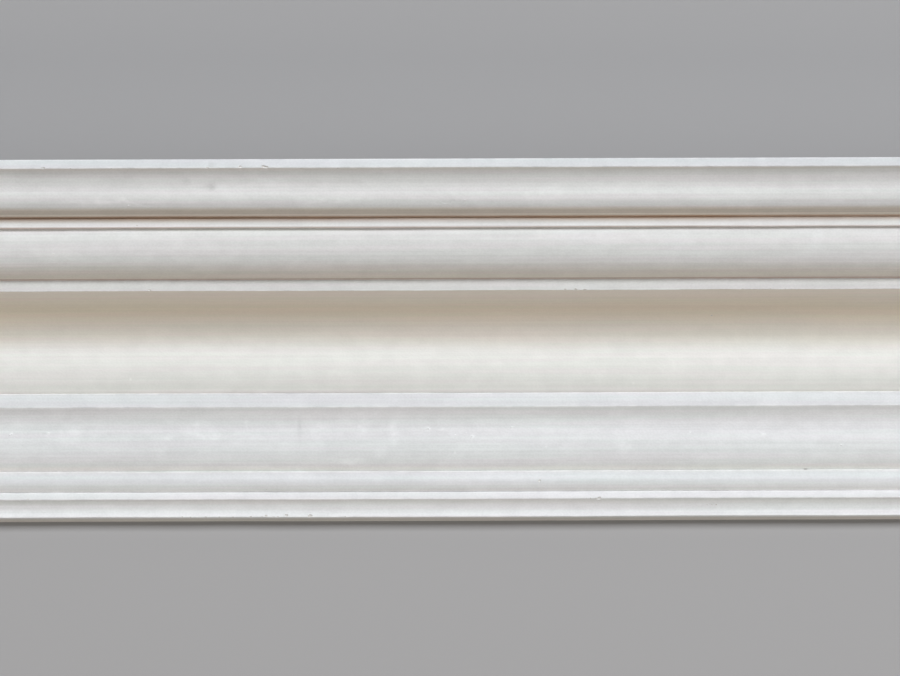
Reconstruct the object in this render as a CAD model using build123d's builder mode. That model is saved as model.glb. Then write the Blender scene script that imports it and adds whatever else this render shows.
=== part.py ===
from build123d import *
import os
from math import cos, radians, sin, tan

# A length of plaster cornice, cast as one solid and lying on its wall face.
# The length runs along X. +Y is the ceiling side and -Y the foot of the cornice, and the mouldings
# stand out from the wall along +Z. The origin is the middle of the wall face.

# Length of one piece of stock.
length = 2400.0

# Back of the section: the foot's thickness, and the splay that clears the wall and ceiling angle.
foot_thickness = 3.0
heel_on_wall = 32.0
heel_on_ceiling = 32.0

# Heights of the members along the wall, from the foot up to the ceiling.
foot_bevel_height = 2.1
foot_hollow_height = 9.0
bead_fillet_height = 3.4
bead_height = 8.3
bead_lip_height = 2.2
ogee_round_height = 18.1
ogee_hollow_height = 14.2
cove_fillet_height = 6.9
cove_round_height = 17.8
cove_hollow_height = 33.4
ovolo_fillet_height = 5.5
ovolo_height = 25.8
crown_fillet_height = 4.9
crown_quirk_height = 0.9
crown_round_height = 12.6
crown_hollow_height = 11.6
top_fillet_height = 4.3

# Steps in, where a member lies back from the one below it.
bead_setback = 1.3
ogee_setback = 1.6
cove_setback = 1.5
crown_quirk_depth = 1.2

# Steps out, where a member overhangs the one below it.
ovolo_overhang = 0.5
crown_fillet_overhang = 1.9
crown_overhang = 0.8

# Tilt of each face below straight out, in degrees: 0 faces the room and 90 faces the floor.
foot_bevel_tilt = 65.0
foot_hollow_foot_tilt = -5.0
foot_hollow_top_tilt = 49.0
bead_foot_tilt = 55.0
bead_top_tilt = -10.0
bead_lip_tilt = 3.0
ogee_foot_tilt = 37.0
ogee_middle_tilt = 4.0
ogee_top_tilt = 42.0
cove_foot_tilt = 31.0
cove_middle_tilt = -4.0
cove_top_tilt = 87.0
ovolo_fillet_tilt = 11.0
ovolo_foot_tilt = 71.0
ovolo_top_tilt = 1.0
crown_foot_tilt = 81.0
crown_middle_tilt = 9.0
crown_top_tilt = 57.0

# Softness of the outer edges.
edge_radius = 0.5

drop = (
    foot_bevel_height + foot_hollow_height + bead_fillet_height + bead_height + bead_lip_height
    + ogee_round_height + ogee_hollow_height + cove_fillet_height + cove_round_height
    + cove_hollow_height + ovolo_fillet_height + ovolo_height + crown_fillet_height
    + crown_quirk_height + crown_round_height + crown_hollow_height + top_fillet_height
)


def flat_face(start, height, tilt=0.0):
    """A straight face that rises from start at one tilt."""
    return Line(start, start + Vector(height, height * tan(radians(tilt))))


def curved_face(start, height, foot_tilt, top_tilt):
    """A round or hollow that rises from start, turning from its foot's tilt to its top's."""
    foot, top = radians(foot_tilt), radians(top_tilt)
    radius = height / abs(sin(top) - sin(foot))
    return JernArc(start, (cos(foot), sin(foot)), radius, top_tilt - foot_tilt)


def step_out(start, depth):
    """A ledge square to the wall, out from start."""
    return Line(start, start + Vector(0, depth))


def step_in(start, depth):
    """A ledge square to the wall, back from start."""
    return Line(start, start - Vector(0, depth))


with BuildPart() as cornice:
    with BuildSketch(Plane.YZ) as section:
        with BuildLine() as outline:
            # The foot, its hollow and the bead.
            foot = step_out(Vector(-drop / 2, 0), foot_thickness)
            foot_bevel = flat_face(foot @ 1, foot_bevel_height, foot_bevel_tilt)
            foot_hollow = curved_face(
                foot_bevel @ 1, foot_hollow_height, foot_hollow_foot_tilt, foot_hollow_top_tilt
            )
            bead_fillet = flat_face(foot_hollow @ 1, bead_fillet_height)
            bead_ledge = step_in(bead_fillet @ 1, bead_setback)
            bead = curved_face(bead_ledge @ 1, bead_height, bead_foot_tilt, bead_top_tilt)
            bead_lip = flat_face(bead @ 1, bead_lip_height, bead_lip_tilt)
            # The shallow ogee, a round below and a hollow above.
            ogee_ledge = step_in(bead_lip @ 1, ogee_setback)
            ogee_round = curved_face(
                ogee_ledge @ 1, ogee_round_height, ogee_foot_tilt, ogee_middle_tilt
            )
            ogee_hollow = curved_face(
                ogee_round @ 1, ogee_hollow_height, ogee_middle_tilt, ogee_top_tilt
            )
            # The fillet under the cove, and the cove with its rounded foot.
            cove_fillet = flat_face(ogee_hollow @ 1, cove_fillet_height)
            cove_ledge = step_in(cove_fillet @ 1, cove_setback)
            cove_round = curved_face(
                cove_ledge @ 1, cove_round_height, cove_foot_tilt, cove_middle_tilt
            )
            cove_hollow = curved_face(
                cove_round @ 1, cove_hollow_height, cove_middle_tilt, cove_top_tilt
            )
            # The ovolo between its two fillets.
            ovolo_fillet = flat_face(cove_hollow @ 1, ovolo_fillet_height, ovolo_fillet_tilt)
            ovolo_soffit = step_out(ovolo_fillet @ 1, ovolo_overhang)
            ovolo = curved_face(ovolo_soffit @ 1, ovolo_height, ovolo_foot_tilt, ovolo_top_tilt)
            fillet_soffit = step_out(ovolo @ 1, crown_fillet_overhang)
            crown_fillet = flat_face(fillet_soffit @ 1, crown_fillet_height)
            # The crown moulding over its quirk, a narrow groove, up to the ceiling.
            quirk_ledge = step_in(crown_fillet @ 1, crown_quirk_depth)
            crown_quirk = flat_face(quirk_ledge @ 1, crown_quirk_height)
            crown_soffit = step_out(crown_quirk @ 1, crown_quirk_depth + crown_overhang)
            crown_round = curved_face(
                crown_soffit @ 1, crown_round_height, crown_foot_tilt, crown_middle_tilt
            )
            crown_hollow = curved_face(
                crown_round @ 1, crown_hollow_height, crown_middle_tilt, crown_top_tilt
            )
            top_fillet = flat_face(crown_hollow @ 1, top_fillet_height)
            # The ceiling face, the splayed heel and the wall face.
            Polyline(
                top_fillet @ 1,
                (drop / 2, heel_on_ceiling),
                (drop / 2 - heel_on_wall, 0),
                foot @ 0,
            )
        make_face()
    extrude(amount=length / 2, both=True)

    # The outer edges are softened, and the inner corners stay sharp.
    members_with_edge = [
        foot_bevel, foot_hollow, bead_fillet, bead_lip, ogee_hollow, cove_fillet, cove_hollow,
        ovolo_soffit, fillet_soffit, crown_fillet, crown_soffit, crown_hollow, top_fillet,
    ]
    corners = [member @ 1 for member in members_with_edge]
    outer_edges = cornice.edges().filter_by(Axis.X).filter_by(
        lambda edge: any((edge.center() - Vector(0, c.X, c.Y)).length < edge_radius / 10 for c in corners)
    )
    fillet(outer_edges, edge_radius)

print(f"drop {drop:.2f} mm, projection {(top_fillet @ 1).Y:.2f} mm, edges softened {len(outer_edges)}")
print(f"volume {cornice.part.volume / 1e6:.3f} litres")

os.makedirs("parts", exist_ok=True)
cornice.part.label = "cornice"
export_step(cornice.part, "parts/cornice.step")
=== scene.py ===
import math
import random

import bmesh
import bpy
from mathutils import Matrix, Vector


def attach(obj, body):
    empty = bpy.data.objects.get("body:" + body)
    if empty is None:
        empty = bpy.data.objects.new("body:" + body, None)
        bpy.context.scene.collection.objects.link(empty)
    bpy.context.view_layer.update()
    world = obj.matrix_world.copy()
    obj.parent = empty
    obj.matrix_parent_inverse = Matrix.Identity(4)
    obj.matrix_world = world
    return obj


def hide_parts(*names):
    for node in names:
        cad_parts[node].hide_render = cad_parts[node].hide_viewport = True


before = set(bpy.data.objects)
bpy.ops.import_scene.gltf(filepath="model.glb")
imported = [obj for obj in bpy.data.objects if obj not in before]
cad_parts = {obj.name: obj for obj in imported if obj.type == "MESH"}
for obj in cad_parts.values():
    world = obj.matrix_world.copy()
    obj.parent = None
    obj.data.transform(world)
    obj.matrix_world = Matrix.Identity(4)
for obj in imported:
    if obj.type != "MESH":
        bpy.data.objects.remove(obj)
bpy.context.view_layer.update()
mm = 0.001
touching = 0.01 * mm              # points nearer than this count as one


# small helpers for edit mode

def deselectAll():
    if bpy.context.object and bpy.context.object.mode != "OBJECT":
        bpy.ops.object.mode_set(mode="OBJECT")
    bpy.ops.object.select_all(action="DESELECT")


def selectOnly(piece):
    deselectAll()
    piece.select_set(True)
    bpy.context.view_layer.objects.active = piece


def selectEdges(piece, test):
    mesh = bmesh.from_edit_mesh(piece.data)
    bpy.ops.mesh.select_all(action="DESELECT")
    bpy.ops.mesh.select_mode(type="EDGE")
    for e in mesh.edges:
        e.select_set(test(e.verts[0].co, e.verts[1].co))
    bmesh.update_edit_mesh(piece.data)


def selectFaces(piece, test):
    mesh = bmesh.from_edit_mesh(piece.data)
    bpy.ops.mesh.select_all(action="DESELECT")
    bpy.ops.mesh.select_mode(type="FACE")
    for f in mesh.faces:
        f.select_set(test(f.calc_center_median(), f.normal))
    bmesh.update_edit_mesh(piece.data)


def applyModifier(piece, modifier):
    selectOnly(piece)
    bpy.ops.object.modifier_apply(modifier=modifier.name)


# helpers for shader nodes

def plug(tree, value, socket):
    if isinstance(value, bpy.types.NodeSocket):
        tree.links.new(value, socket)
    else:
        socket.default_value = value


def calc(tree, operation, a, b=0.0):
    node = tree.nodes.new("ShaderNodeMath")
    node.operation = operation
    plug(tree, a, node.inputs[0])
    plug(tree, b, node.inputs[1])
    return node.outputs[0]


def calcVector(tree, operation, a, b):
    node = tree.nodes.new("ShaderNodeVectorMath")
    node.operation = operation
    plug(tree, a, node.inputs[0])
    plug(tree, b, node.inputs[1])
    return node.outputs["Vector"]


def vectorLength(tree, vector):
    node = tree.nodes.new("ShaderNodeVectorMath")
    node.operation = "LENGTH"
    plug(tree, vector, node.inputs[0])
    return node.outputs["Value"]


def fade(tree, value, start, end):
    node = tree.nodes.new("ShaderNodeMapRange")
    node.interpolation_type = "SMOOTHSTEP"
    for name, setting in (("Value", value), ("From Min", start), ("From Max", end)):
        plug(tree, setting, node.inputs[name])
    return node.outputs["Result"]


def opposite(tree, share):
    return calc(tree, "SUBTRACT", 1.0, share)


def mixColour(tree, factor, a, b, blend="MIX"):
    node = tree.nodes.new("ShaderNodeMix")
    node.data_type = "RGBA"
    node.blend_type = blend
    # a Mix node's sockets for colours: factor 0, A 6 and B 7, result 2
    for index, value in ((0, factor), (6, a), (7, b)):
        plug(tree, (*value, 1) if isinstance(value, tuple) else value, node.inputs[index])
    return node.outputs[2]


def ramp(tree, value, stops):
    node = tree.nodes.new("ShaderNodeValToRGB")
    node.color_ramp.interpolation = "EASE"
    for place, _ in stops[:-2]:   # a new ramp has two stops already
        node.color_ramp.elements.new(place)
    for element, (place, tint) in zip(node.color_ramp.elements, sorted(stops)):
        element.position = place
        element.color = (*tint, 1)
    plug(tree, value, node.inputs[0])
    return node.outputs["Color"]


def newGroup(name, inputs, output):
    group = bpy.data.node_groups.new(name, "ShaderNodeTree")
    for socketName, kind in inputs.items():
        group.interface.new_socket(name=socketName, in_out="INPUT", socket_type="NodeSocket" + kind)
    group.interface.new_socket(name=output, in_out="OUTPUT", socket_type="NodeSocketFloat")
    inside = group.nodes.new("NodeGroupInput").outputs
    out = group.nodes.new("NodeGroupOutput").inputs[0]
    return group, inside, out


def useGroup(tree, group, settings):
    node = tree.nodes.new("ShaderNodeGroup")
    node.node_tree = group
    for name, value in settings.items():
        plug(tree, value, node.inputs[name])
    return node.outputs[0]


# the cornice: its section is drawn from the foot up with one vertex, then run out along X

cornice = {
    "length": 2400,
    "drop": 181.0,
    "footThickness": 3.0,
    "heel": 32.0,                 # splay at the back, on the wall and on the ceiling
    "arrisSetback": 0.3,          # how far an outer edge's softening reaches on each side
    "arrisSteps": 3,
    "curveStep": 4.5,             # degrees of turn for each drawn edge
    "leastSteps": 3,
    "slices": (99, 4),            # two rounds of cuts along the length
    "smoothAngle": 32,
}

# each member: name, kind, height, tilt at its foot, tilt at its top; a ledge has only a depth
members = [
    ("footBevel", "flat", 2.1, 65.0, 65.0),
    ("footHollow", "curve", 9.0, -5.0, 49.0),
    ("beadFillet", "flat", 3.4, 0.0, 0.0),
    ("beadLedge", "ledge", -1.3, 0.0, 0.0),
    ("bead", "curve", 8.3, 55.0, -10.0),
    ("beadLip", "flat", 2.2, 3.0, 3.0),
    ("ogeeLedge", "ledge", -1.6, 0.0, 0.0),
    ("ogeeRound", "curve", 18.1, 37.0, 4.0),
    ("ogeeHollow", "curve", 14.2, 4.0, 42.0),
    ("coveFillet", "flat", 6.9, 0.0, 0.0),
    ("coveLedge", "ledge", -1.5, 0.0, 0.0),
    ("coveRound", "curve", 17.8, 31.0, -4.0),
    ("coveHollow", "curve", 33.4, -4.0, 87.0),
    ("ovoloFillet", "flat", 5.5, 11.0, 11.0),
    ("ovoloSoffit", "ledge", 0.5, 0.0, 0.0),
    ("ovolo", "curve", 25.8, 71.0, 1.0),
    ("filletSoffit", "ledge", 1.9, 0.0, 0.0),
    ("crownFillet", "flat", 4.9, 0.0, 0.0),
    ("quirkLedge", "ledge", -0.5, 0.0, 0.0),      # shallow quirk; its darkness comes from the brown dust and painted shade laid in it
    ("crownQuirk", "flat", 0.9, 0.0, 0.0),
    ("crownSoffit", "ledge", 1.3, 0.0, 0.0),
    ("crownRound", "curve", 12.6, 81.0, 9.0),
    ("crownHollow", "curve", 11.6, 9.0, 57.0),
    ("topFillet", "flat", 4.3, 0.0, 0.0),
]

# members whose upper edge is an arris
softAfter = [
    "footBevel", "footHollow", "beadFillet", "beadLip", "ogeeHollow", "coveFillet", "coveHollow",
    "ovoloSoffit", "filletSoffit", "crownFillet", "crownSoffit", "crownHollow", "topFillet",
]


def drawTo(pen, y, z):
    move = (0, y - pen[0], z - pen[1])
    bpy.ops.mesh.extrude_vertices_move(TRANSFORM_OT_translate={"value": move})
    pen[0], pen[1] = y, z


def drawCurve(pen, height, footTilt, topTilt):
    foot, top = math.radians(footTilt), math.radians(topTilt)
    turn = top - foot
    side = 1 if turn > 0 else -1
    radius = height / abs(math.sin(top) - math.sin(foot))
    centre = (pen[0] - side * radius * math.sin(foot), pen[1] + side * radius * math.cos(foot))
    steps = max(cornice["leastSteps"], round(abs(topTilt - footTilt) / cornice["curveStep"]))
    left = -cornice["length"] * mm / 2
    bpy.ops.mesh.spin(steps=steps, angle=-turn, center=(left, *centre), axis=(1, 0, 0))
    pen[0] = centre[0] + side * radius * math.sin(top)
    pen[1] = centre[1] - side * radius * math.cos(top)


def makeCornice():
    half = cornice["length"] * mm / 2
    drop = cornice["drop"] * mm
    # a small plane merged to one vertex at the foot is the pen
    deselectAll()
    bpy.ops.mesh.primitive_plane_add(size=0.01, location=(-half, -drop / 2, 0))
    piece = bpy.context.object
    piece.name = "corniceRun"
    piece.data.name = "corniceRun"
    bpy.ops.object.transform_apply(location=True, rotation=True, scale=True)
    bpy.ops.object.mode_set(mode="EDIT")
    bpy.ops.mesh.select_all(action="SELECT")
    bpy.ops.mesh.merge(type="CENTER")
    pen = [-drop / 2, 0.0]
    tops = {}
    drawTo(pen, pen[0], cornice["footThickness"] * mm)
    for name, kind, height, footTilt, topTilt in members:
        if kind == "ledge":
            drawTo(pen, pen[0], pen[1] + height * mm)
        elif kind == "flat":
            drawTo(pen, pen[0] + height * mm, pen[1] + height * mm * math.tan(math.radians(footTilt)))
        else:
            drawCurve(pen, height * mm, footTilt, topTilt)
        tops[name] = tuple(pen)
    print("section drawn to", [round(v / mm, 3) for v in pen], "mm")
    drawTo(pen, drop / 2, cornice["heel"] * mm)
    drawTo(pen, drop / 2 - cornice["heel"] * mm, 0)
    drawTo(pen, -drop / 2, 0)
    bpy.ops.mesh.select_all(action="SELECT")
    bpy.ops.mesh.remove_doubles(threshold=touching)

    # run the section out along its length and soften the outer edges
    bpy.ops.mesh.select_all(action="SELECT")
    bpy.ops.mesh.extrude_region_move(TRANSFORM_OT_translate={"value": (2 * half, 0, 0)})
    corners = [tops[name] for name in softAfter]
    selectEdges(piece, lambda a, b: abs(a.x - b.x) > half and any(
        math.hypot(a.y - y, a.z - z) < touching for y, z in corners))
    bpy.ops.mesh.bevel(offset=cornice["arrisSetback"] * mm, segments=cornice["arrisSteps"], affect="EDGES")

    # close the two sawn ends
    for end in (-half, half):
        selectEdges(piece, lambda a, b: abs(a.x - end) < touching and abs(b.x - end) < touching)
        bpy.ops.mesh.edge_face_add()
    bpy.ops.mesh.select_all(action="SELECT")
    bpy.ops.mesh.normals_make_consistent(inside=False)

    # cut it into slices
    for cuts in cornice["slices"]:
        selectEdges(piece, lambda a, b: abs(a.x - b.x) > touching)
        bpy.ops.mesh.subdivide(number_cuts=cuts)
    bpy.ops.object.mode_set(mode="OBJECT")
    print("cornice run", len(piece.data.vertices), "vertices", len(piece.data.polygons), "faces")
    return piece, tops


corniceRun, memberTops = makeCornice()


# the hand-run surface: slow wander of the mouldings and soft unevenness, on the moulded face only

handRun = {
    "cloudPlace": (0.37, 0.11, 0.05),
    # mm of the moulded face that stay true beside the wall, the ceiling and the splay
    "wallMargin": 1.0, "ceilingMargin": 0.3, "splayMargin": 0.5,
    # name: (direction, total reach mm, wave along X mm, wave across mm)
    "waves": {
        "wanderAcross": ("Y", 0.45, 190, 700),
        "wanderOut": ("Z", 0.50, 240, 160),
        "unevenAcross": ("Y", 0.28, 34, 17),
        "unevenOut": ("Z", 0.32, 30, 15),
    },
}


def groupMouldedFace(piece):
    top = cornice["drop"] * mm / 2
    wall = handRun["wallMargin"] * mm
    ceiling = top - handRun["ceilingMargin"] * mm
    splay = top - (cornice["heel"] + handRun["splayMargin"]) * mm
    group = piece.vertex_groups.new(name="mouldedFace")
    moulded = [v.index for v in piece.data.vertices
               if v.co.z >= wall and v.co.y <= ceiling and v.co.y - v.co.z <= splay]
    group.add(moulded, 1.0, "REPLACE")
    return group.name


def runByHand(piece):
    groupName = groupMouldedFace(piece)
    for name, (direction, reach, alongWave, acrossWave) in handRun["waves"].items():
        deselectAll()
        bpy.ops.object.empty_add(location=handRun["cloudPlace"])
        scaler = bpy.context.object
        scaler.scale = (alongWave * mm, acrossWave * mm, acrossWave * mm)
        bpy.context.view_layer.update()
        cloud = bpy.data.textures.new(name, "CLOUDS")
        cloud.noise_scale = 1.0
        cloud.noise_depth = 1
        modifier = piece.modifiers.new(name, "DISPLACE")
        modifier.texture = cloud
        modifier.texture_coords = "OBJECT"
        modifier.texture_coords_object = scaler
        modifier.direction = direction
        modifier.strength = reach * mm
        modifier.mid_level = 0.5
        modifier.vertex_group = groupName
        applyModifier(piece, modifier)
        bpy.data.objects.remove(scaler)
        bpy.data.textures.remove(cloud)
    piece.vertex_groups.clear()
    print("surface run by hand")


# chips, air holes and crumbs, cut or added as real shapes

marks = {
    # x and y on the moulded face, then radius, all in mm
    "holes": [(-202.5, 86.2, 0.8), (-120.5, 86.2, 0.5), (-104.4, 86.5, 0.95), (-91.8, 86.5, 1.3),
              (44.6, -70.6, 0.9), (178.0, -65.4, 0.8), (-70.5, -87.9, 0.9), (74.6, -79.6, 1.2),
              (-82.3, -87.6, 0.8), (-92.5, -87.6, 0.55), (-150.0, 25.5, 0.7), (-156.0, 57.7, 0.45),
              (-212.0, -79.2, 0.6), (131.0, 12.0, 0.35)],
    # rows of small break-outs along an arris: y, from x, to x, how many, smallest and largest radius
    "chipRows": [(25.0, 57, 68, 10, 0.45, 0.75), (25.0, 144, 173, 16, 0.40, 0.75),
                 (-79.3, 67, 75, 5, 0.28, 0.5), (-65.2, 120, 131, 3, 0.28, 0.5),
                 (-88.3, -137, -50, 13, 0.35, 0.6), (-82.9, 127, 135, 6, 0.28, 0.5),
                 (85.9, -205, -40, 6, 0.28, 0.5)],
    "chipScatter": 0.15,          # mm that a chip may stray across its row
    "crumbs": [(-11.0, -44.4, 0.95), (11.0, -47.9, 0.75), (157.0, -47.4, 0.9), (-58.0, 61.0, 0.35),
               (31.0, -43.6, 0.5), (48.0, -53.4, 0.45), (-160.0, -19.0, 0.45), (-220.0, -46.5, 0.7),
               (-201.6, -46.0, 0.65), (196.0, -53.2, 0.6), (120.0, -46.5, 0.45), (91.7, -21.9, 0.45),
               (2.2, -56.1, 0.5)],
    # patches of small pimples: from x, to x, from y, to y, how many
    "pimples": [(-6, 16, 66.8, 70.2, 22), (-160, -148, 66.5, 69, 8), (-34, -26, 33, 36, 6),
                (-205, -188, 38, 45, 6), (0, 14, -52, -46, 5)],
    "pimpleRadius": (0.28, 0.5),
    # stray marks on the rest of the length
    "strayHoles": 46, "strayCrumbs": 24, "strayRadius": (0.3, 0.85), "strayY": (-87, 88),
    "strayFromEnd": 12,           # least mm from a sawn end
    "strayFromMiddle": 230,       # least mm from the middle of the length
    "spacing": 2.1,               # least distance between two marks, in sums of their radii
    # a grain's shape: how lumpy, then its stretch and turn on X, Y and Z
    "lumpiness": 0.22, "stretch": ((0.9, 1.7), (0.75, 1.1), (0.75, 1.1)), "turn": (3.0, 0.3, 0.5),
    "sunk": 0.35,                 # share of the radius that a hole's middle lies above the face
    "bedded": 0.65,               # share of the radius that a crumb's middle lies below it
    "seed": 17,
}


def faceBelow(piece, x, y):
    above = Vector((x * mm, y * mm, 1))
    _, place, normal, _ = piece.ray_cast(above, Vector((0, 0, -1)))
    return place, normal


def makeGrain():
    deselectAll()
    bpy.ops.mesh.primitive_ico_sphere_add(subdivisions=2, radius=1)
    grain = bpy.context.object
    grain.name = "grain"
    bpy.ops.object.mode_set(mode="EDIT")
    bpy.ops.mesh.select_all(action="SELECT")
    bpy.ops.transform.vertex_random(offset=marks["lumpiness"], uniform=1.0, seed=marks["seed"])
    bpy.ops.object.mode_set(mode="OBJECT")
    return grain


def copyGrain(grain, place, radius, rng):
    selectOnly(grain)
    bpy.ops.object.duplicate()
    copy = bpy.context.object
    copy.location = place
    copy.scale = [radius * mm * rng.uniform(*span) for span in marks["stretch"]]
    copy.rotation_euler = [rng.uniform(-turn, turn) for turn in marks["turn"]]
    bpy.ops.object.transform_apply(location=True, rotation=True, scale=True)
    return copy


def joinGrains(grains, name):
    deselectAll()
    for grain in grains:
        grain.select_set(True)
    bpy.context.view_layer.objects.active = grains[0]
    bpy.ops.object.join()
    grains[0].name = name
    return grains[0]


def strayMarks(count, rng):
    reach = cornice["length"] / 2 - marks["strayFromEnd"]
    strays = [(rng.uniform(-reach, reach), rng.uniform(*marks["strayY"]), rng.uniform(*marks["strayRadius"]))
              for _ in range(count)]
    return [stray for stray in strays if abs(stray[0]) > marks["strayFromMiddle"]]


def keepApart(spots):
    kept = []
    for x, y, radius in spots:
        if all(math.hypot(x - a, y - b) > marks["spacing"] * (radius + r) for a, b, r in kept):
            kept.append((x, y, radius))
    return kept


def markSurface(piece):
    rng = random.Random(marks["seed"])
    scatter = marks["chipScatter"]
    spots = list(marks["holes"])
    for y, start, end, count, least, most in marks["chipRows"]:
        spots += [(rng.uniform(start, end), y + rng.uniform(-scatter, scatter), rng.uniform(least, most))
                  for _ in range(count)]
    spots += strayMarks(marks["strayHoles"], rng)
    crumbs = list(marks["crumbs"])
    for start, end, low, high, count in marks["pimples"]:
        crumbs += [(rng.uniform(start, end), rng.uniform(low, high), rng.uniform(*marks["pimpleRadius"]))
                   for _ in range(count)]
    crumbs += strayMarks(marks["strayCrumbs"], rng)
    spots = keepApart(spots)
    crumbs = keepApart(crumbs)
    holeGrains, crumbGrains = [], []
    grain = makeGrain()
    for x, y, radius in spots:
        place, normal = faceBelow(piece, x, y)
        holeGrains.append(copyGrain(grain, place + normal * radius * mm * marks["sunk"], radius, rng))
    for x, y, radius in crumbs:
        place, normal = faceBelow(piece, x, y)
        crumbGrains.append(copyGrain(grain, place - normal * radius * mm * marks["bedded"], radius, rng))
    bpy.data.objects.remove(grain)
    cutter = joinGrains(holeGrains, "holeGrains")
    adder = joinGrains(crumbGrains, "crumbGrains")
    for grains, slot, operation in ((cutter, brokenSlot, "DIFFERENCE"), (adder, castSlot, "UNION")):
        for mat in piece.data.materials:
            grains.data.materials.append(mat)
        for polygon in grains.data.polygons:
            polygon.material_index = slot
        modifier = piece.modifiers.new(grains.name, "BOOLEAN")
        modifier.operation = operation
        modifier.solver = "MANIFOLD"
        modifier.object = grains
        applyModifier(piece, modifier)
        bpy.data.objects.remove(grains)
    print("marks:", len(spots), "holes and chips,", len(crumbs), "crumbs,", len(piece.data.polygons), "faces")


# what the plaster finishes share

plaster = {
    "plain": (0.790, 0.795, 0.790),       # the body of the plaster
    "hole": (0.500, 0.460, 0.410),        # pinholes
    "specular": 0.3,
    "cloudRoughness": 0.55,
    "smallestPinhole": 0.4,               # share of the pinholes' radius; the largest has 1 more
    "backFacing": -0.5,                   # the wall face and the splay point lower than this
    "squareFacing": 0.9,                  # the ceiling face and the ends point straighter than this
}
castSlot, struckSlot, sawnSlot, brokenSlot = range(4)


def cloudGroup():
    inputs = {"Position": "Vector", "Waves": "Vector", "Low": "Float", "High": "Float", "Detail": "Float"}
    group, inside, out = newGroup("plasterCloud", inputs, "Cloud")
    noise = group.nodes.new("ShaderNodeTexNoise")
    noise.inputs["Scale"].default_value = 1.0
    plug(group, inside["Detail"], noise.inputs["Detail"])
    noise.inputs["Roughness"].default_value = plaster["cloudRoughness"]
    plug(group, calcVector(group, "MULTIPLY", inside["Position"], inside["Waves"]), noise.inputs["Vector"])
    plug(group, fade(group, noise.outputs["Fac"], inside["Low"], inside["High"]), out)
    return group


def pinholeGroup():
    inputs = {"Position": "Vector", "Cells": "Float", "Share": "Float", "Radius": "Float"}
    group, inside, out = newGroup("pinholes", inputs, "Hole")
    cells = group.nodes.new("ShaderNodeTexVoronoi")
    plug(group, inside["Position"], cells.inputs["Vector"])
    plug(group, inside["Cells"], cells.inputs["Scale"])
    shade = group.nodes.new("ShaderNodeSeparateColor")
    plug(group, cells.outputs["Color"], shade.inputs[0])
    picked = calc(group, "LESS_THAN", shade.outputs[0], inside["Share"])
    size = calc(group, "ADD", shade.outputs[1], plaster["smallestPinhole"])
    reach = calc(group, "MULTIPLY", inside["Radius"], size)
    plug(group, calc(group, "MULTIPLY", picked, fade(group, cells.outputs["Distance"], reach, 0.0)), out)
    return group


plasterCloud = cloudGroup()
plasterPinholes = pinholeGroup()


def layCloud(tree, position, cloud):
    waves, low, high, detail = cloud
    return useGroup(tree, plasterCloud, {"Position": position, "Waves": waves, "Low": low, "High": high,
                                         "Detail": detail})


def layClouds(tree, position, clouds):
    return {name: layCloud(tree, position, cloud) for name, cloud in clouds.items()}


def layPinholes(tree, position, pinholes):
    cells, share, radius = pinholes
    return useGroup(tree, plasterPinholes, {"Position": position, "Cells": cells, "Share": share,
                                            "Radius": radius})


def startMaterial(name):
    mat = bpy.data.materials.new(name)
    mat.use_nodes = True
    tree = mat.node_tree
    shader = tree.nodes["Principled BSDF"]
    shader.inputs["Specular IOR Level"].default_value = plaster["specular"]
    place = tree.nodes.new("ShaderNodeTexCoord")
    return mat, tree, shader, place


def weighted(tree, layers, weights):
    total = 0.0
    for name, weight in weights.items():
        swing = calc(tree, "SUBTRACT", layers[name], 0.5)
        total = calc(tree, "ADD", total, calc(tree, "MULTIPLY", swing, weight))
    return total


def brighten(tree, colour, amount):
    tone = calc(tree, "ADD", amount, 1.0)
    grey = tree.nodes.new("ShaderNodeCombineColor")
    for channel in grey.inputs:
        plug(tree, tone, channel)
    return mixColour(tree, 1.0, colour, grey.outputs[0], "MULTIPLY")


def layRoughness(tree, shader, layers, finish):
    rough = calc(tree, "ADD", weighted(tree, layers, finish["roughWeights"]), finish["roughness"])
    plug(tree, rough, shader.inputs["Roughness"])


def layBump(tree, shader, height, finish):
    bump = tree.nodes.new("ShaderNodeBump")
    bump.inputs["Strength"].default_value = finish["bumpStrength"]
    bump.inputs["Distance"].default_value = finish["bumpDistance"] * mm
    plug(tree, height, bump.inputs["Height"])
    plug(tree, bump.outputs["Normal"], shader.inputs["Normal"])


# the cast face

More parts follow.
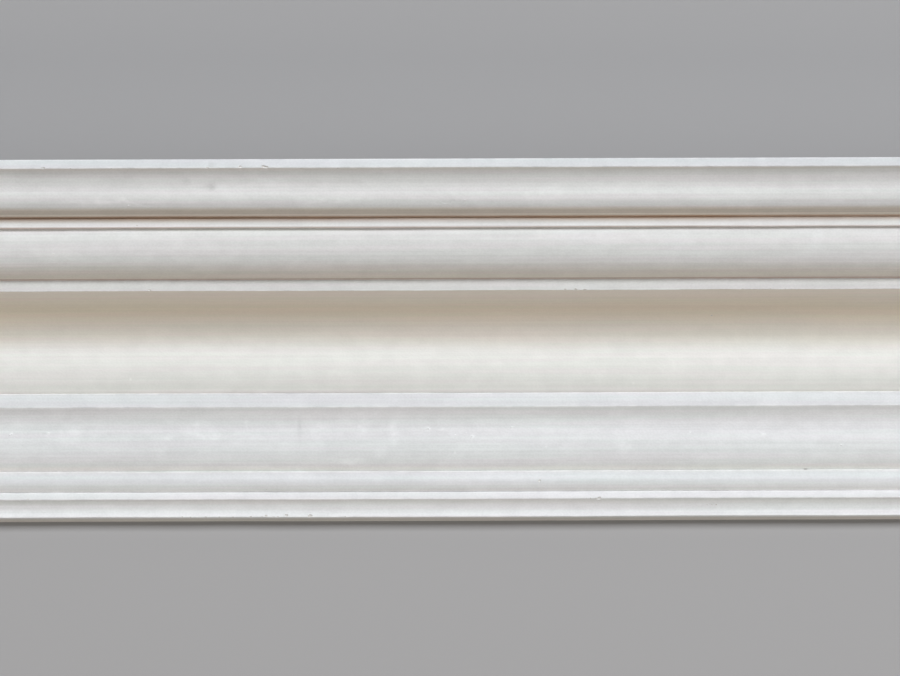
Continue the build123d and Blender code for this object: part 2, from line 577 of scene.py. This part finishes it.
castFinish = {
    # clouds: waves per metre on X, Y and Z, noise that gives 0 and 1, detail
    "clouds": {
        "patches": ((8, 18, 18), 0.36, 0.64, 2.0),
        "paleLitPatches": ((30, 46, 46), 0.56, 0.74, 2.0),
        "streaks": ((3.5, 600, 600), 0.32, 0.68, 1.0),
        "flecks": ((150, 260, 260), 0.34, 0.66, 2.0),
        "grain": ((900, 1100, 1100), 0.32, 0.68, 0.0),
        "dabs": ((85, 105, 105), 0.36, 0.64, 1.0),
        "hues": ((9, 330, 330), 0.35, 0.65, 1.0),
    },
    "pinholes": (130.0, 0.03, 0.05),      # cells per metre, share of cells with a hole, radius in cells
    "toneWeights": {"patches": 0.026, "streaks": 0.058, "flecks": 0.024, "grain": 0.034},
    "dabWeights": {"dabs": 0.032},
    "hueTints": ((0.990, 1.006, 0.996), (1.010, 0.995, 1.004)),
    "roughness": 0.78,
    "roughWeights": {"streaks": 0.10, "flecks": 0.08, "dustAndShade": 0.2},
    "bumpWeights": {"streaks": 0.34, "flecks": 0.38, "grain": 0.24},
    "bumpDistance": 0.1, "bumpStrength": 0.5,

    "paintedUnderShade": (0.785, 0.720, 0.635),        # painted warm shade on the undersides of the rolls
    "underShadeFacing": (0.55, 1.0),            # how far down a face points where it starts and is full
    "paleLitPatches": (0.830, 0.846, 0.852),       # pale bluish patches, partly random tone and partly painted light on faces turned up and out
    "paleLitShare": 0.4,
    "paleLitFacing": (0.7, 0.3),            # how far down a face points where it ends and is full
    # painted shadow of the overhang down the cove, darker and tan in its upper part: mm below its head,
    # colour
    "cove": [(32, (0.798, 0.800, 0.770)), (20.5, (0.780, 0.735, 0.660)), (10, (0.905, 0.810, 0.672)),
             (1, (0.848, 0.782, 0.705))],
    "coveEdge": 0.15,                     # softness of the cove's two ends in mm
    "coveRagged": 2.0,                    # mm that its colours stray
    "coveCalm": 0.45,                     # share of the mottle that it loses
    "coveShade": (24, 12),                # mm below its head where the dabs start to fade and end
    # bands of painted light and shade, member by member: darker where shade falls under overhangs, in corners
    # and on faces turned down, paler where faces and arrises catch the light; from a member's top and mm
    # beyond it, to another's, softness in mm, colour
    "paintedLightBands": [("footBevel", -2.6, "footBevel", -0.2, 0.3, (0.640, 0.610, 0.560)),
              ("footBevel", -0.3, "ogeeHollow", 0.0, 0.2, (0.795, 0.804, 0.804)),
              ("footBevel", -0.3, "footBevel", 3.5, 1.0, (0.860, 0.874, 0.884)),
              ("footHollow", -2.6, "footHollow", 0.0, 0.8, (0.765, 0.765, 0.752)),
              ("footHollow", 0.0, "beadFillet", 0.0, 0.2, (0.815, 0.830, 0.842)),
              ("beadFillet", 0.0, "beadFillet", 1.4, 0.6, (0.870, 0.870, 0.862)),
              ("beadFillet", 4.0, "beadLip", 0.0, 2.0, (0.742, 0.760, 0.772)),
              ("beadFillet", 5.0, "beadFillet", 8.6, 0.8, (0.764, 0.792, 0.802)),
              ("beadLip", 0.0, "beadLip", 2.6, 1.2, (0.785, 0.780, 0.752)),
              ("beadLip", 7.0, "ogeeHollow", -7.0, 4.0, (0.800, 0.818, 0.826)),
              ("ogeeHollow", 0.0, "coveFillet", 0.0, 0.2, (0.728, 0.748, 0.764)),
              ("coveHollow", 2.4, "ovoloFillet", 0.0, 1.2, (0.900, 0.905, 0.898)),
              ("crownHollow", 0.0, "topFillet", 0.5, 0.2, (0.716, 0.740, 0.756)),
              ("crownRound", 1.0, "crownHollow", -1.0, 2.0, (0.728, 0.728, 0.722)),
              ("crownQuirk", 4.0, "crownQuirk", 7.5, 2.0, (0.755, 0.755, 0.755)),
              ("crownQuirk", 0.0, "crownQuirk", 4.0, 1.2, (0.665, 0.600, 0.530)),
              ("crownQuirk", 0.55, "crownQuirk", 1.15, 0.3, (0.800, 0.730, 0.645)),
              ("ovoloFillet", 0.1, "ovoloFillet", 0.65, 0.45, (0.450, 0.304, 0.258))],

    "quirkDustAndShade": (0.720, 0.558, 0.440),   # brown dust and painted shade in the groove under the crown and down the fillet below it
    "dirtAndShade": (0.445, 0.350, 0.308),        # dirt and painted shade in the sharp corners, under the overhangs and above the cove's ledge
    # lines of dust and dirt with painted shade: member's top, mm above it, strength at the line, how far it
    # spreads in mm
    "quirkDustAndShadeLines": [("crownQuirk", 0.0, 1.0, 4.4)],
    "dirtAndShadeLines": [("ovolo", 0.0, 0.06, 1.2), ("filletSoffit", 0.25, 0.85, 1.0),
                  ("ovoloSoffit", 0.2, 0.12, 0.8), ("crownSoffit", 0.2, 0.30, 0.8),
                  ("coveLedge", 0.0, 0.20, 2.6)],
    "dustAndShadeFall": 1.4,                      # power of the fall from the line
    "dustAndShadeWave": -4.6,                     # slow wave of the dust and painted shade along X, radians per metre
    "dustAndShadeWeights": {"patches": 0.3, "slowWave": 0.10},
    "dustAndShadeTone": -0.13,                    # how much darker the dust and painted shade are where the wave is high

    # smears: x, y, half width, half height in mm, lighter or darker
    "smears": [(-120, -47, 27, 2.8, 0.060), (-75.5, -44, 2.0, 9, -0.075), (-66, -43, 7, 5, 0.060),
               (-44, -42, 3.6, 9, 0.070), (-29, -46, 4.5, 8, 0.065), (-85, -64, 24, 1.8, 0.050),
               (-52, -61, 16, 2.2, 0.050), (-35, -56.5, 6, 4.5, 0.050), (-190, -46, 10, 7, 0.050),
               (-150, -52, 19, 6, -0.030), (88, -53, 7, 6, 0.045), (120, -46, 15, 7, -0.025),
               (48, -44, 12, 6, 0.035), (-119, 76.7, 4.0, 3.5, -0.140), (-131, 78.6, 4.6, 3.3, -0.080),
               (-171, 69.6, 34, 2.0, 0.075), (-60, 70, 28, 2.4, 0.050), (48, 73, 16, 6, 0.035),
               (-195, 42, 18, 5, 0.045), (112, -13, 2.2, 3.6, 0.050), (-135, -11, 9, 6, -0.030),
               (-70, 38, 30, 2.5, 0.035), (95, 46, 26, 3, -0.020), (-127, -43.7, 2.5, 5, 0.060),
               (-102, -41, 2.2, 5, 0.060), (-142, -48.5, 4.5, 3, 0.050), (-145.6, -54, 5.5, 4, 0.045),
               (-187.7, -48, 5, 4, 0.055), (-4, -44.8, 4.5, 1.2, 0.050)],
    "smearStrength": 1.15,
    "smearFlecks": (0.7, 0.65),           # how far the flecks break a smear up, and what is left between
    "smearWarp": (6, 130),                # ragged outlines: mm of shift, waves per metre
    "smearRagged": 3,                     # half width in mm from which an outline is ragged
    "crumbHalo": (2.4, 0.075),            # pale rub round a crumb: times its radius, lighter by

    "wornAndLit": (0.930, 0.935, 0.940),        # rubbed, paler arrises, partly painted highlight along the edges
    "wornAndLitReach": 0.9,
    "wornAndLitShare": 0.6,
}


def lineDistance(tree, position, y, z):
    apart = calcVector(tree, "SUBTRACT", position, (0, y, z))
    return vectorLength(tree, calcVector(tree, "MULTIPLY", apart, (0, 1, 1)))


def dustAndShadeGroup(name, lines):
    group, inside, out = newGroup(name, {"Position": "Vector"}, "DustAndShade")
    total = 0.0
    for member, shift, strength, reach in lines:
        y, z = memberTops[member]
        near = fade(group, lineDistance(group, inside["Position"], y + shift * mm, z), reach * mm, 0.0)
        laid = calc(group, "MULTIPLY", calc(group, "POWER", near, castFinish["dustAndShadeFall"]), strength)
        total = calc(group, "MAXIMUM", total, laid)
    plug(group, total, out)
    return group


def smearGroup():
    group, inside, out = newGroup("smears", {"Position": "Vector"}, "Tone")
    shift, waves = castFinish["smearWarp"]
    warp = group.nodes.new("ShaderNodeTexNoise")
    plug(group, inside["Position"], warp.inputs["Vector"])
    plug(group, waves, warp.inputs["Scale"])
    pushed = calcVector(group, "SUBTRACT", warp.outputs["Color"], (0.5, 0.5, 0.5))
    pushed = calcVector(group, "MULTIPLY", pushed, (shift * mm,) * 3)
    ragged = calcVector(group, "ADD", inside["Position"], pushed)
    halo, haloTone = castFinish["crumbHalo"]
    rubs = [(x, y, radius * halo, radius * halo, haloTone) for x, y, radius in marks["crumbs"]]
    total = 0.0
    for x, y, halfWidth, halfHeight, tone in castFinish["smears"] + rubs:
        place = inside["Position"] if halfWidth < castFinish["smearRagged"] else ragged
        apart = calcVector(group, "SUBTRACT", place, (x * mm, y * mm, 0))
        scaled = calcVector(group, "MULTIPLY", apart, (1 / halfWidth / mm, 1 / halfHeight / mm, 0))
        near = fade(group, vectorLength(group, scaled), 1.0, 0.0)
        total = calc(group, "ADD", total, calc(group, "MULTIPLY", near, tone))
    plug(group, total, out)
    return group


def wornAndLitArrisGroup():
    group, inside, out = newGroup("wornAndLitArris", {"Position": "Vector"}, "WearAndHighlight")
    reach = castFinish["wornAndLitReach"] * mm
    total = 0.0
    for name in softAfter:
        near = fade(group, lineDistance(group, inside["Position"], *memberTops[name]), reach, 0.0)
        total = calc(group, "MAXIMUM", total, near)
    plug(group, total, out)
    return group


def bandMask(tree, height, low, high, soft):
    rise = fade(tree, height, low - soft, low + soft)
    fall = fade(tree, height, high + soft, high - soft)
    return calc(tree, "MULTIPLY", rise, fall)


def castPlaster():
    mat, tree, shader, place = startMaterial("castPlaster")
    position = place.outputs["Object"]
    split = tree.nodes.new("ShaderNodeSeparateXYZ")
    plug(tree, position, split.inputs[0])
    height = split.outputs["Y"]
    facing = tree.nodes.new("ShaderNodeSeparateXYZ")
    plug(tree, place.outputs["Normal"], facing.inputs[0])
    under = calc(tree, "MULTIPLY", facing.outputs["Y"], -1.0)
    layers = layClouds(tree, position, castFinish["clouds"])
    patches, flecks = layers["patches"], layers["flecks"]

    # tints of the members, most of them painted light and shade
    # painted warm shade on faces that point down
    paintedUnderShade = fade(tree, under, *castFinish["underShadeFacing"])
    colour = mixColour(tree, paintedUnderShade, plaster["plain"], castFinish["paintedUnderShade"])
    # painted shadow of the overhang: the cove's colour ramp, tan and darker towards its head
    coveFoot, coveHead = memberTops["coveLedge"][0], memberTops["coveHollow"][0]
    inCove = bandMask(tree, height, coveFoot, coveHead, castFinish["coveEdge"] * mm)
    stray = calc(tree, "MULTIPLY", calc(tree, "SUBTRACT", patches, 0.5), castFinish["coveRagged"] * mm)
    depth = castFinish["cove"][0][0] * mm
    down = calc(tree, "SUBTRACT", coveHead, calc(tree, "ADD", height, stray))
    stops = [(below * mm / depth, tint) for below, tint in castFinish["cove"]]
    colour = mixColour(tree, inCove, colour, ramp(tree, calc(tree, "DIVIDE", down, depth), stops))
    # each band paints light or shade onto its stretch of the section
    for lowName, lowShift, highName, highShift, soft, tint in castFinish["paintedLightBands"]:
        low, high = memberTops[lowName][0] + lowShift * mm, memberTops[highName][0] + highShift * mm
        colour = mixColour(tree, bandMask(tree, height, low, high, soft * mm), colour, tint)

    # pale patches (partly painted light, kept off faces that point down and off the cove), mottle, streaks of
    # the run, grain and smears
    openFace = calc(tree, "MULTIPLY", opposite(tree, inCove), fade(tree, under, *castFinish["paleLitFacing"]))
    paleLitPatches = calc(tree, "MULTIPLY", layers["paleLitPatches"], openFace)
    paleLitPatches = calc(tree, "MULTIPLY", paleLitPatches, castFinish["paleLitShare"])
    colour = mixColour(tree, paleLitPatches, colour, castFinish["paleLitPatches"])
    calm = opposite(tree, calc(tree, "MULTIPLY", inCove, castFinish["coveCalm"]))
    mottle = calc(tree, "MULTIPLY", weighted(tree, layers, castFinish["toneWeights"]), calm)
    shadeFoot, shadeHead = (coveHead - below * mm for below in castFinish["coveShade"])
    shadedCove = calc(tree, "MULTIPLY", inCove, fade(tree, height, shadeFoot, shadeHead))
    dabs = weighted(tree, layers, castFinish["dabWeights"])
    dabs = calc(tree, "MULTIPLY", dabs, opposite(tree, shadedCove))
    broken, unbroken = castFinish["smearFlecks"]
    flecked = calc(tree, "ADD", calc(tree, "MULTIPLY", flecks, broken), unbroken)
    smears = calc(tree, "MULTIPLY", useGroup(tree, smearGroup(), {"Position": position}), flecked)
    smears = calc(tree, "MULTIPLY", smears, castFinish["smearStrength"])
    colour = brighten(tree, colour, calc(tree, "ADD", calc(tree, "ADD", mottle, dabs), smears))
    hues = mixColour(tree, layers["hues"], *castFinish["hueTints"])
    colour = mixColour(tree, 1.0, colour, hues, "MULTIPLY")

    # rubbed arrises with painted highlight, dust with painted shade in the quirk, dirt with painted shade in
    # the corners, and pinholes
    # paler arrises: wear and painted highlight on the edges
    wearAndHighlight = calc(tree, "MULTIPLY", useGroup(tree, wornAndLitArrisGroup(), {"Position": position}), flecks)
    wearAndHighlight = calc(tree, "MULTIPLY", wearAndHighlight, castFinish["wornAndLitShare"])
    colour = mixColour(tree, wearAndHighlight, colour, castFinish["wornAndLit"])
    slowWave = calc(tree, "SINE", calc(tree, "MULTIPLY", split.outputs["X"], castFinish["dustAndShadeWave"]))
    layers["slowWave"] = slowWave
    uneven = calc(tree, "ADD", weighted(tree, layers, castFinish["dustAndShadeWeights"]), 1.0)
    # brown dust and painted shade: the crown overhang's shadow in the quirk and on the fillet below
    dustAndShade = useGroup(tree, dustAndShadeGroup("quirkDustAndShade", castFinish["quirkDustAndShadeLines"]), {"Position": position})
    dustAndShadeTone = calc(tree, "MULTIPLY", dustAndShade, calc(tree, "MULTIPLY", slowWave, castFinish["dustAndShadeTone"]))
    layers["dustAndShade"] = calc(tree, "MULTIPLY", dustAndShade, uneven)
    colour = brighten(tree, mixColour(tree, layers["dustAndShade"], colour, castFinish["quirkDustAndShade"]), dustAndShadeTone)
    # dirt and painted shade in the corners and under the overhangs
    dirtAndShade = useGroup(tree, dustAndShadeGroup("cornerDirtAndShade", castFinish["dirtAndShadeLines"]), {"Position": position})
    colour = mixColour(tree, calc(tree, "MULTIPLY", dirtAndShade, uneven), colour, castFinish["dirtAndShade"])
    colour = mixColour(tree, layPinholes(tree, position, castFinish["pinholes"]), colour, plaster["hole"])
    plug(tree, colour, shader.inputs["Base Color"])
    layRoughness(tree, shader, layers, castFinish)
    layBump(tree, shader, weighted(tree, layers, castFinish["bumpWeights"]), castFinish)
    return mat


# the ruled-off back

struckFinish = {
    "colour": (0.770, 0.760, 0.736),
    "clouds": {
        "drags": ((9, 170, 170), 0.35, 0.65, 2.0),
        "lumps": ((48, 60, 60), 0.35, 0.65, 3.0),
        "grain": ((700, 900, 900), 0.3, 0.7, 2.0),
    },
    "pinholes": (95.0, 0.24, 0.13),
    "toneWeights": {"drags": 0.025, "lumps": 0.025, "grain": 0.05},
    "roughness": 0.88,
    "roughWeights": {"drags": 0.12, "grain": 0.1},
    "bumpWeights": {"drags": 0.7, "lumps": 1.0, "grain": 0.35, "holes": -2.5},
    "bumpDistance": 0.3, "bumpStrength": 0.7,
}


def pittedColour(tree, layers, patches, finish):
    tone = weighted(tree, layers, finish["toneWeights"])
    colour = brighten(tree, mixColour(tree, patches, finish["colour"], plaster["plain"]), tone)
    return mixColour(tree, layers["holes"], colour, plaster["hole"])


def struckPlaster():
    mat, tree, shader, place = startMaterial("struckPlaster")
    position = place.outputs["Object"]
    layers = layClouds(tree, position, struckFinish["clouds"])
    layers["holes"] = layPinholes(tree, position, struckFinish["pinholes"])
    plug(tree, pittedColour(tree, layers, layers["lumps"], struckFinish), shader.inputs["Base Color"])
    layRoughness(tree, shader, layers, struckFinish)
    layBump(tree, shader, weighted(tree, layers, struckFinish["bumpWeights"]), struckFinish)
    return mat


# the sawn ends

sawnFinish = {
    "colour": (0.840, 0.832, 0.810),      # fresh core
    "clouds": {
        "grain": ((800, 800, 800), 0.3, 0.7, 2.0),
        "core": ((40, 40, 40), 0.35, 0.65, 2.0),
    },
    "scores": ((1, 9, 900), 0.36, 0.64, 2.0),
    "scoreTurn": 24,                      # degrees between the saw's stroke and Y
    "pinholes": (210.0, 0.30, 0.16),
    "toneWeights": {"scores": 0.06, "grain": 0.07, "core": 0.05},
    "roughness": 0.9,
    "roughWeights": {"scores": 0.08, "grain": 0.08},
    "bumpWeights": {"scores": 0.9, "grain": 0.5, "holes": -2.0},
    "bumpDistance": 0.25, "bumpStrength": 0.8,
}


def sawnPlaster():
    mat, tree, shader, place = startMaterial("sawnPlaster")
    position = place.outputs["Object"]
    turned = tree.nodes.new("ShaderNodeMapping")
    turned.inputs["Rotation"].default_value = (math.radians(sawnFinish["scoreTurn"]), 0, 0)
    plug(tree, position, turned.inputs["Vector"])
    layers = layClouds(tree, position, sawnFinish["clouds"])
    layers["scores"] = layCloud(tree, turned.outputs["Vector"], sawnFinish["scores"])
    layers["holes"] = layPinholes(tree, position, sawnFinish["pinholes"])
    plug(tree, pittedColour(tree, layers, layers["core"], sawnFinish), shader.inputs["Base Color"])
    layRoughness(tree, shader, layers, sawnFinish)
    layBump(tree, shader, weighted(tree, layers, sawnFinish["bumpWeights"]), sawnFinish)
    return mat


# inside the chips and air holes

brokenFinish = {
    "colour": (0.640, 0.620, 0.585),
    "clouds": {"grain": ((900, 900, 900), 0.3, 0.7, 2.0)},
    "roughness": 0.9,
    "roughWeights": {"grain": 0.1},
    "bumpDistance": 0.1, "bumpStrength": 0.5,
}


def brokenPlaster():
    mat, tree, shader, place = startMaterial("brokenPlaster")
    layers = layClouds(tree, place.outputs["Object"], brokenFinish["clouds"])
    colour = mixColour(tree, layers["grain"], brokenFinish["colour"], plaster["plain"])
    plug(tree, colour, shader.inputs["Base Color"])
    layRoughness(tree, shader, layers, brokenFinish)
    layBump(tree, shader, layers["grain"], brokenFinish)
    return mat


def assignFaces(piece, slot, test):
    selectFaces(piece, test)
    piece.active_material_index = slot
    bpy.ops.object.material_slot_assign()


def finishCornice(piece):
    for mat in (castPlaster(), struckPlaster(), sawnPlaster(), brokenPlaster()):
        piece.data.materials.append(mat)
    ceiling = cornice["drop"] * mm / 2 - touching
    back, square = plaster["backFacing"], plaster["squareFacing"]
    selectOnly(piece)
    bpy.ops.object.mode_set(mode="EDIT")
    assignFaces(piece, struckSlot, lambda c, n: n.z < back or (n.y > square and c.y > ceiling))
    assignFaces(piece, sawnSlot, lambda c, n: abs(n.x) > square)
    bpy.ops.object.mode_set(mode="OBJECT")
    print("finishes laid on")


finishCornice(corniceRun)
runByHand(corniceRun)
markSurface(corniceRun)
selectOnly(corniceRun)
bpy.ops.object.shade_smooth_by_angle(angle=math.radians(cornice["smoothAngle"]))
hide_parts("cornice")
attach(corniceRun, "root")


# floor, lamps and camera

stage = {
    "floorSize": 60, "floorColour": (0.404, 0.400, 0.401),
    "worldColour": (0.04, 0.04, 0.04),
    "lampDistance": 4.0,
    # tilt from overhead in degrees, size, power, colour, how far along X
    "lamps": {
        "keyLamp": (34.5, (6.0, 1.45), 195, (0.985, 1.0, 1.03), 1.1),
        "fillLamp": (-50, (6.0, 3.6), 75.5, (1.05, 1.0, 0.94), 0.0),
    },
    "lens": 1000, "sensor": 36, "cameraHeight": 12.545, "cameraY": 0.00115, "cameraRoll": -0.18,
}


def makeFloor():
    deselectAll()
    bpy.ops.mesh.primitive_plane_add(size=stage["floorSize"])
    floor = bpy.context.object
    floor.name = "studioFloor"
    mat = bpy.data.materials.new("studioFloor")
    mat.use_nodes = True
    shader = mat.node_tree.nodes["Principled BSDF"]
    shader.inputs["Base Color"].default_value = (*stage["floorColour"], 1)
    shader.inputs["Roughness"].default_value = 1.0
    shader.inputs["Specular IOR Level"].default_value = 0.0
    floor.data.materials.append(mat)


def makeLamp(name, tilt, size, power, colour, aside):
    angle = math.radians(tilt)
    reach = stage["lampDistance"]
    bpy.ops.object.light_add(type="AREA", location=(aside, reach * math.sin(angle), reach * math.cos(angle)),
                             rotation=(-angle, 0, 0))
    lamp = bpy.context.object
    lamp.name = name
    lamp.data.shape = "RECTANGLE"
    lamp.data.size, lamp.data.size_y = size
    lamp.data.energy = power
    lamp.data.color = colour
    lamp.visible_camera = False


def makeCamera():
    bpy.ops.object.camera_add(location=(0, stage["cameraY"], stage["cameraHeight"]),
                              rotation=(0, 0, math.radians(stage["cameraRoll"])))
    camera = bpy.context.object
    camera.data.lens = stage["lens"]
    camera.data.sensor_width = stage["sensor"]
    bpy.context.scene.camera = camera


makeFloor()
deselectAll()
for lampName, lampSettings in stage["lamps"].items():
    makeLamp(lampName, *lampSettings)
makeCamera()
world = bpy.data.worlds.new("studioWorld")
bpy.context.scene.world = world
world.use_nodes = True
world.node_tree.nodes["Background"].inputs["Color"].default_value = (*stage["worldColour"], 1)
bpy.context.scene.view_settings.view_transform = "Standard"
print("floor, lamps and camera set")
